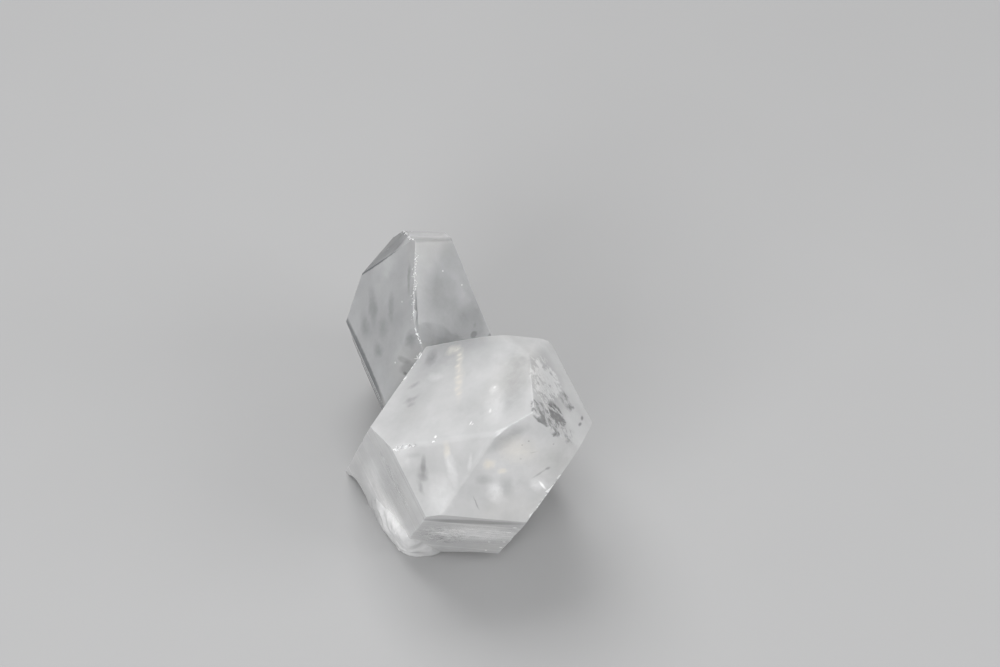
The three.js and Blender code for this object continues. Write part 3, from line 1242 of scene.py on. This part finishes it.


# The marks on each crystal. The broadest shades among them are painted shade that greys most of a
# face, and the broadest clouds painted light that brightens one.
FRONT_PATCHES = (
    *marks_on(Mark.CREAM, "r0",
        ((-0.9, -14.0, 54.7), (1.8, 12.0), 0, 0.5), ((-2.6, -4.5, 52.8), (2.6, 2.2), 0, 0.4)),
    *marks_on(Mark.CREAM, "r1",
        ((-3.8, -36.7, 52.7), (1.6, 3.0), 0, 0.7)),
    *marks_on(Mark.CREAM, "r2",
        ((6.5, -41.8, 53.8), (2.0, 2.0), 0, 0.8), ((9.6, -42.1, 51.4), (1.6, 1.2), 0, 0.8),
        ((13.0, -40.5, 57.4), (6.0, 6.0), 0, 0.4)),
    *marks_on(Mark.SMOKE, "r0",
        ((-8.2, -4.0, 49.2), (2.2, 3.4)), ((-12.3, -11.2, 47.1), (2.0, 1.2), 0, 0.8),
        ((-12.9, -16.1, 47.1), (3.0, 1.2), 0, 0.8), ((-12.9, -17.8, 47.3), (1.8, 0.9), 0, 0.6),
        ((12.9, -22.0, 64.0), (5.0, 17.0), 0, 0.9)),
    *marks_on(Mark.SMOKE, "r1",
        ((-10.2, -39.6, 41.9), (1.0, 2.6), 30, 0.8)),
    *marks_on(Mark.SMOKE, "r2",
        ((10.6, -40.0, 60.8), (7.5, 2.4), 35, 1.1), ((5.4, -42.9, 49.2), (2.8, 2.0), 0, 0.7),
        ((11.2, -43.2, 46.4), (1.9, 5.0), 12, 0.7), ((24.0, -40.5, 53.5), (4.5, 6.0), 0, 0.6)),
    *marks_on(Mark.SMOKE, "r5",
        ((16.4, -18.0, 65.2), (4.0, 4.0), 0, 0.5)),
    *marks_on(Mark.CLOUD_AND_PAINTED_LIGHT, "r0",
        ((-6.8, -11.5, 50.5), (3.4, 1.8), -35, 0.6), ((7.7, -30.0, 61.6), (3.6, 7.5), 0, 0.7),
        ((7.6, -24.3, 61.0), (1.6, 2.0), 0, 0.5)),
    *marks_on(Mark.CLOUD_AND_PAINTED_LIGHT, "r1",
        ((-14.5, -33.0, 45.8), (4.0, 5.0), 0, 0.6), ((-2.6, -40.0, 49.8), (1.8, 5.0), 18),
        ((-5.0, -43.0, 43.0), (6.0, 6.5), 0, 0.8), ((1.6, -41.4, 54.0), (0.8, 2.6), -12, 0.8)),
    *marks_on(Mark.CLOUD_AND_PAINTED_LIGHT, "r2",
        ((7.9, -43.6, 45.4), (2.4, 4.2), 8), ((18.5, -42.4, 46.5), (3.0, 2.4), -40, 0.8)),
    # Painted light that brightens the foot and the outer part of this face.
    *marks_on(Mark.CLOUD_AND_PAINTED_LIGHT, "m1",
        ((-14.0, -24.0, 8.0), (12.0, 14.0), 0, 2.0, 2.0, 14.0),
        ((-23.5, -17.0, 16.0), (6.0, 16.0), -20, 1.0, 1.4, 6.0)),
    # Painted light that brightens most of this face.
    *marks_on(Mark.CLOUD_AND_PAINTED_LIGHT, "r2",
        ((13.0, -42.0, 52.0), (14.0, 13.0), 0, 0.5)),
    # Painted light that brightens most of this face.
    *marks_on(Mark.CLOUD_AND_PAINTED_LIGHT, "m2",
        ((4.0, -40.0, 22.0), (14.0, 10.0), 0, 1.7, 2.0)),
    *marks_on(Mark.FLECK, "r0",
        ((7.9, -24.0, 61.1), (0.5, 0.6), 0, 0.25), ((6.8, -31.4, 61.1), (0.5, 0.9), 0, 0.3),
        ((2.1, -32.8, 58.2), (0.3, 0.8), -35, 0.6), ((2.6, -33.4, 58.5), (0.5, 0.25), 10, 0.5),
        ((-6.5, -32.5, 52.7), (0.5, 0.6), 0, 0.7)),
    *marks_on(Mark.FLECK, "r2",
        ((19.4, -42.5, 46.4), (1.9, 0.4), -57, 0.6)),
    *marks_on(Mark.FLECK, "m1",
        ((-16.3, -29.6, 11.6), (0.5, 2.0), -20, 0.6, 1.4, 3.0)),
    *marks_on(Mark.FLECK, "m2",
        ((12.8, -42.5, 29.6), (0.7, 0.45), 0, 1.2), ((11.3, -40.6, 24.8), (0.7, 0.45), 20, 1.2),
        ((10.2, -35.7, 14.6), (0.45, 0.6), 0, 1.2), ((9.3, -32.9, 8.7), (0.5, 0.6), 0, 1.2),
        ((6.4, -35.2, 13.9), (0.4, 0.5), 0, 1.2), ((5.5, -31.2, 5.0), (0.4, 0.6), 0, 1.2)),
    *marks_on(Mark.SHADE, "r1",
        ((-12.2, -33.7, 47.0), (3.4, 0.9), 12, 0.5, 1.4, 1.0),
        ((-9.6, -35.4, 48.4), (2.4, 3.4), 8, 0.16, 2.0)),
    # Faint painted shade over a broad part of this face.
    *marks_on(Mark.SHADE, "m1",
        ((-18.0, -28.0, 30.0), (7.0, 14.0), -8, 0.3, 1.4, 6.0)),
    # Painted shade that greys the far part and the left side of the top face.
    *marks_on(Mark.SHADE, "r0",
        ((2.0, 3.0, 55.5), (24.0, 20.0), 0, 1.7), ((-13.0, -14.0, 47.0), (9.0, 18.0), -30, 0.6)),
    # Faint painted shade over most of this face.
    *marks_on(Mark.SHADE, "r1",
        ((-7.0, -40.0, 46.0), (14.0, 14.0), 0, 0.2)),
    # Faint painted shade over most of this face.
    *marks_on(Mark.SHADE, "r4",
        ((22.0, -24.0, 59.0), (10.0, 22.0), 0, 0.3)),
    *marks_on(Mark.BAND, "r1",
        ((-9.6, -37.5, 45.2), (2.1, 2.6), 4, 0.2, 2.0),
        ((-9.8, -38.3, 44.2), (2.3, 1.2), -6, 0.16, 2.0),
        ((-9.4, -36.4, 46.6), (1.0, 3.2), -4, 0.3, 1.8)),
    *marks_on(Mark.BAND, "r4",
        ((20.5, -22.0, 61.0), (9.0, 14.0), 0, 0.3)),
    # Painted shade: a dark band under this face's top edge, in place of a narrow face along that
    # edge.
    *marks_on(Mark.BAND, "m2",
        ((2.3, -43.8, 33.7), (14.5, 2.6), 0, 0.55, 2.0)),
    *marks_on(Mark.CRACK, "r2",
        ((3.4, -44.7, 42.2), (0.22, 2.8), 18, 0.8), ((18.6, -41.7, 50.0), (2.6, 0.35), 38, 0.6),
        ((20.6, -41.3, 51.4), (0.9, 0.5), 25, 0.8), ((16.0, -39.7, 59.8), (0.3, 0.3)),
        ((14.4, -40.1, 58.8), (0.25, 0.3)), ((17.1, -40.4, 56.4), (1.2, 0.2), 12, 0.5),
        ((14.1, -41.0, 54.7), (0.4, 0.25), 0, 0.6), ((21.9, -39.6, 58.4), (0.3, 0.3), 0, 0.7)),
    *marks_on(Mark.CRACK, "r4",
        ((29.3, -23.7, 49.2), (0.6, 1.5), -20, 1.5), ((28.6, -26.9, 50.6), (0.5, 1.8), -30, 1.5),
        ((27.2, -22.4, 51.8), (0.5, 0.5))),
    *marks_on(Mark.FLUFF, "r4",
        ((19.6, -23.5, 62.0), (6.5, 12.0)), ((23.0, -20.0, 57.8), (5.0, 6.0), 0, 0.9)),
    *marks_on(Mark.WINDOW, "r4",
        ((18.9, -35.6, 65.5), (5.0, 4.4), 0, 1.0, 2.4),
        ((22.4, -31.4, 60.0), (4.4, 4.6), 0, 1.0, 2.2),
        ((22.2, -38.3, 61.8), (2.6, 4.0), 0, 1.0, 2.2),
        ((24.8, -33.4, 57.0), (5.0, 7.0), 0, 0.45, 2.0),
        ((25.2, -22.4, 54.4), (4.6, 4.6), 0, 0.45, 2.0)),
    *marks_on(Mark.LINED, "m1",
        ((-17.5, -28.5, 27.0), (10.0, 20.0), -12, 0.7, 1.4, 6.0)),
    *marks_on(Mark.LINED, "m2",
        ((2.3, -39.0, 22.0), (18.0, 14.0), 0, 1.0, 2.0, 6.0)),
    *marks_on(Mark.WAVY, "m1",
        ((-17.2, -29.4, 31.5), (10.0, 2.4), -23, 0.9, 2.0, 3.0)),
    *marks_on(Mark.WAVY, "r4",
        ((20.4, -26.5, 61.0), (4.5, 10.0), 0, 0.25, 1.2)),
    *marks_on(Mark.WAVY, "m2",
        ((-5.0, -37.2, 19.4), (7.0, 11.0), 0, 1.5, 2.0)),
)


@dataclass(frozen=True)
class Ladder:
    """A column of short pale bars on one face, like the rungs of a ladder."""

    face: str = "r0"
    bars: int = 9
    first: Triple = (-1.2, -5.0, 53.7)
    last: Triple = (-0.8, -21.0, 55.2)
    width: float = 1.5
    height: float = 0.6
    stray: float = 0.5
    stretch: tuple[float, float] = (0.5, 1.2)
    swing: float = 12.0
    amount: tuple[float, float] = (0.2, 0.6)
    seed: int = 5

    def patches(self) -> tuple[Patch, ...]:
        """Draws the bars."""
        dice, bars = Dice(self.seed), []
        for bar in range(self.bars):
            at = Vector(self.first).lerp(Vector(self.last), bar / (self.bars - 1))
            at.x += dice.between(-self.stray, self.stray)
            size = (self.width * dice.between(*self.stretch), self.height)
            turn = dice.between(-self.swing, self.swing)
            amount = dice.between(*self.amount)
            bars.append(Patch(Mark.CREAM, self.face, tuple(at), size, turn, amount))
        return tuple(bars)


BACK_PATCHES = (
    *marks_on(Mark.SMOKE, "r2",
        ((-24.0, 18.6, 43.8), (2.4, 6.0), 6, 0.8), ((-26.3, 17.0, 38.4), (2.6, 4.0), 0, 0.6),
        ((-18.8, 13.9, 48.6), (1.8, 5.0), -4, 0.7), ((-20.9, 11.6, 42.4), (3.0, 4.0), 0, 0.5),
        ((-22.3, 9.0, 37.4), (2.8, 2.4), 0, 0.7), ((-13.9, 14.8, 58.2), (0.9, 5.0))),
    *marks_on(Mark.SMOKE, "r3",
        ((-13.7, 3.9, 47.5), (2.2, 3.2), -10)),
    *marks_on(Mark.SMOKE, "r4",
        ((3.5, 13.0, 44.2), (2.4, 4.0), 0, 0.5), ((0.4, 13.0, 46.8), (5.0, 3.0), 30, 0.6),
        ((-6.1, 12.6, 52.7), (7.0, 8.0), 0, 0.4)),
    *marks_on(Mark.SHADE, "r2",
        ((-23.9, 16.0, 41.2), (8.5, 7.5), 0, 0.35, 1.8)),
    # A painted dark reflection that greys this narrow face.
    *marks_on(Mark.SHADE, "r1",
        ((-20.8, 32.1, 50.8), (14.0, 16.0), 0, 1.7, 4.0, 0.5)),
    # A painted dark reflection that greys this narrow face.
    *marks_on(Mark.SHADE, "m2",
        ((-26.5, 13.0, 26.0), (20.0, 26.0), 0, 1.5, 3.0, 1.0)),
    # Painted shade that greys most of this face.
    *marks_on(Mark.SHADE, "r4",
        ((-2.0, 18.0, 52.0), (14.0, 22.0), 0, 1.0, 2.0)),
    *marks_on(Mark.BAND, "r3",
        ((-14.6, 0.7, 40.2), (2.8, 1.7), 40, 0.25, 2.0),
        ((-15.9, 1.8, 41.9), (2.7, 1.1), -8, 0.25, 2.0)),
    *marks_on(Mark.CRACK, "r3",
        ((-15.0, 0.0, 38.6), (0.8, 0.6), -30, 0.9)),
    *marks_on(Mark.CRACK, "r4",
        ((2.4, 10.2, 42.2), (1.3, 1.0), 35, 0.8, 2.5), ((2.7, 11.9, 43.9), (0.6, 0.9), -20, 0.3)),
    *marks_on(Mark.FLECK, "r3",
        ((-11.2, 1.8, 44.1), (0.3, 0.9), -30, 0.8), ((-11.8, 1.5, 43.2), (0.3, 0.8), 20, 0.7),
        ((-12.2, 1.4, 42.8), (0.7, 0.2), 10, 0.7)),
    *marks_on(Mark.FLECK, "r4",
        ((-5.4, 18.0, 57.7), (0.3, 0.3), 0, 0.6), ((-0.6, 17.6, 52.9), (0.3, 0.3), 0, 0.6)),
    *marks_on(Mark.FLECK, "r2",
        ((-15.8, 12.2, 52.4), (0.35, 0.3), 0, 0.5), ((-17.7, 2.5, 40.0), (0.35, 0.3), 0, 0.5)),
    *marks_on(Mark.CLOUD_AND_PAINTED_LIGHT, "r2",
        ((-20.4, 24.7, 55.4), (7.0, 6.0), 0, 0.5)),
    *marks_on(Mark.CLOUD_AND_PAINTED_LIGHT, "r4",
        ((-0.6, 15.6, 52.0), (2.6, 8.0), 25, 0.5)),
    # Painted light that brightens the top strip of this crystal.
    *marks_on(Mark.CLOUD_AND_PAINTED_LIGHT, "r0",
        ((-7.0, 31.0, 61.0), (14.0, 8.0), 0, 1.2, 2.0, 3.0)),
)

# The yellowish white of the warm places.
WHITE_WARM = (0.84, 0.79, 0.69, 1.0)


# ---- The cluster ----


@dataclass
class Cluster:
    """The two crystals, the knob and the breaks, joined in one stone."""

    front: Crystal
    back: Crystal
    knob: Knob
    breaks: tuple[Break, ...]
    name: str = "crystal_cluster"
    ground: float = 200.0

    def finishes(self) -> dict[Skin, bpy.types.Material]:
        """Makes the stone's materials."""
        front = QuartzFinish(
            name="milky_front_quartz",
            dull=(0.22, 0.225, 0.23, 1.0), bright=(0.90, 0.90, 0.90, 1.0), warm=WHITE_WARM,
            milk=0.72, light=0.64, turn=self.front.place.to_euler("XYZ"),
            patches=self.front.placed(FRONT_PATCHES + Ladder().patches()),
        )
        back = QuartzFinish(
            name="grey_back_quartz",
            dull=(0.09, 0.095, 0.10, 1.0), bright=(0.80, 0.805, 0.81, 1.0), warm=WHITE_WARM,
            milk=0.64, light=0.56, turn=self.back.place.to_euler("XYZ"),
            patches=self.back.placed(BACK_PATCHES),
        )
        broken = RoughFinish(
            name="broken_root_quartz", dull=(0.45, 0.46, 0.46, 1.0),
            bright=(0.84, 0.84, 0.83, 1.0), milk=0.8, rough=0.3, grain=0.8, relief=0.5,
        )
        chipped = RoughFinish(
            name="chipped_edge_quartz", dull=(0.78, 0.79, 0.80, 1.0),
            bright=(0.92, 0.92, 0.92, 1.0), milk=0.9, rough=0.35, grain=2.5, relief=0.6,
        )
        return {Skin.FRONT: front.make(), Skin.BACK: back.make(),
                Skin.BROKEN: broken.make(), Skin.CHIPPED: chipped.make()}

    def build(self) -> bpy.types.Object:
        """Models the stone and brings it to metres."""
        Bench.finishes = self.finishes()
        piece = self.front.build()
        Bench.carve(piece, self.back.build(), "UNION")
        Bench.carve(piece, self.knob.build(), "UNION")
        for scoop in self.breaks:
            Bench.carve(piece, scoop.build(), "DIFFERENCE")
        Bench.clear()
        bpy.ops.mesh.primitive_cube_add(size=self.ground, location=(0, 0, -self.ground / 2))
        ground = Bench.fresh("ground", Skin.BROKEN)
        bpy.ops.object.transform_apply(location=True, rotation=True, scale=True)
        Bench.carve(piece, ground, "DIFFERENCE")
        Bench.heal(piece)
        Bench.settle(piece, Matrix.Scale(MM, 4))
        bpy.ops.object.shade_smooth_by_angle(angle=SMOOTH_ANGLE)
        Bench.modify(piece, "WEIGHTED_NORMAL", keep_sharp=True)
        piece.name = self.name
        piece.data.name = self.name
        return piece

    def dress(self, piece: bpy.types.Object) -> None:
        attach(piece, BODY)
        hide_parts(NODE)
        odd = sum(1 for count in edge_counts(piece) if count != 2)
        LOG.info("%s: %d faces, %d edges that aren't between two faces", piece.name,
                 len(piece.data.polygons), odd)


def edge_counts(piece: bpy.types.Object) -> list[int]:
    """Counts the faces on each edge: 1 beside a hole, 2 on a plain skin, 4 where folds touch."""
    counts: dict[tuple[int, int], int] = {}
    for polygon in piece.data.polygons:
        for key in polygon.edge_keys:
            counts[key] = counts.get(key, 0) + 1
    return list(counts.values())


# ---- The studio ----


@dataclass(frozen=True)
class Lamp:
    """A soft square lamp, in metres and watts, aimed at the stone."""

    name: str
    at: Triple
    size: float
    power: float


@dataclass
class Studio:
    """The pale floor, the soft lamps, the sky and the camera."""

    aim: Triple = (0.0, 0.0, 0.03)
    lamps: tuple[Lamp, ...] = (
        Lamp("key_lamp", (-0.35, -0.75, 0.45), 0.50, 5.0),
        Lamp("top_lamp", (-0.15, 0.25, 0.90), 0.60, 6.0),
        Lamp("fill_lamp", (0.70, -0.25, 0.45), 0.50, 2.5),
    )
    sky: Colour = (0.82, 0.82, 0.825, 1.0)
    sky_strength: float = 0.62
    floor_size: float = 6.0
    floor_dark: Colour = (0.345, 0.345, 0.347, 1.0)
    floor_light: Colour = (0.36, 0.36, 0.362, 1.0)
    floor_rough: float = 0.85
    floor_specks: Grain = Grain(0.02, 2.0)
    speck_shade: float = 0.2
    floor_middle: float = 0.5
    camera_at: Triple = (0.00915, -0.4023, 0.5007)
    camera_tilt: float = 42.0
    lens: float = 86.4
    sensor: float = 36.0
    nearest: float = 0.01

    def build_floor(self) -> None:
        """Lays the pale floor."""
        desk = NodeDesk("pale_floor")
        speck = desk.noise(desk.millimetres(), self.floor_specks)
        share = speck * self.speck_shade + self.floor_middle
        colour = desk.blend(share.clamped(), self.floor_dark, self.floor_light)
        paper = desk.node("ShaderNodeBsdfPrincipled", None, {
            "Base Color": colour, "Roughness": self.floor_rough})
        Bench.clear()
        bpy.ops.mesh.primitive_plane_add(size=self.floor_size)
        floor = bpy.context.active_object
        floor.name = "floor"
        floor.data.materials.append(desk.finish(paper))

    def build_lamps(self) -> None:
        """Hangs the lamps and sets the sky."""
        for lamp in self.lamps:
            light = bpy.data.lights.new(lamp.name, "AREA")
            light.size = lamp.size
            light.energy = lamp.power
            hung = bpy.data.objects.new(lamp.name, light)
            bpy.context.scene.collection.objects.link(hung)
            hung.location = lamp.at
            ray = Vector(self.aim) - Vector(lamp.at)
            hung.rotation_euler = ray.to_track_quat("-Z", "Y").to_euler()
        world = bpy.data.worlds.new("studio_sky")
        bpy.context.scene.world = world
        world.use_nodes = True
        back = world.node_tree.nodes["Background"]
        back.inputs["Color"].default_value = self.sky
        back.inputs["Strength"].default_value = self.sky_strength

    def build_camera(self) -> None:
        """Sets up the camera."""
        data = bpy.data.cameras.new("camera")
        data.lens = self.lens
        data.sensor_width = self.sensor
        data.clip_start = self.nearest
        camera = bpy.data.objects.new("camera", data)
        bpy.context.scene.collection.objects.link(camera)
        camera.location = self.camera_at
        camera.rotation_euler = (math.radians(self.camera_tilt), 0.0, 0.0)
        bpy.context.scene.camera = camera
        bpy.context.scene.view_settings.view_transform = "Standard"

    def build(self) -> None:
        """Sets up the whole studio."""
        self.build_floor()
        self.build_lamps()
        self.build_camera()


def main() -> None:
    """Builds the studio and the cluster."""
    logging.basicConfig(level=logging.INFO, format="%(name)s: %(message)s")
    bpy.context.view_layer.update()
    Studio().build()
    cluster = Cluster(FRONT, BACK, Knob(), BREAKS)
    cluster.dress(cluster.build())


if __name__ == "__main__":
    main()
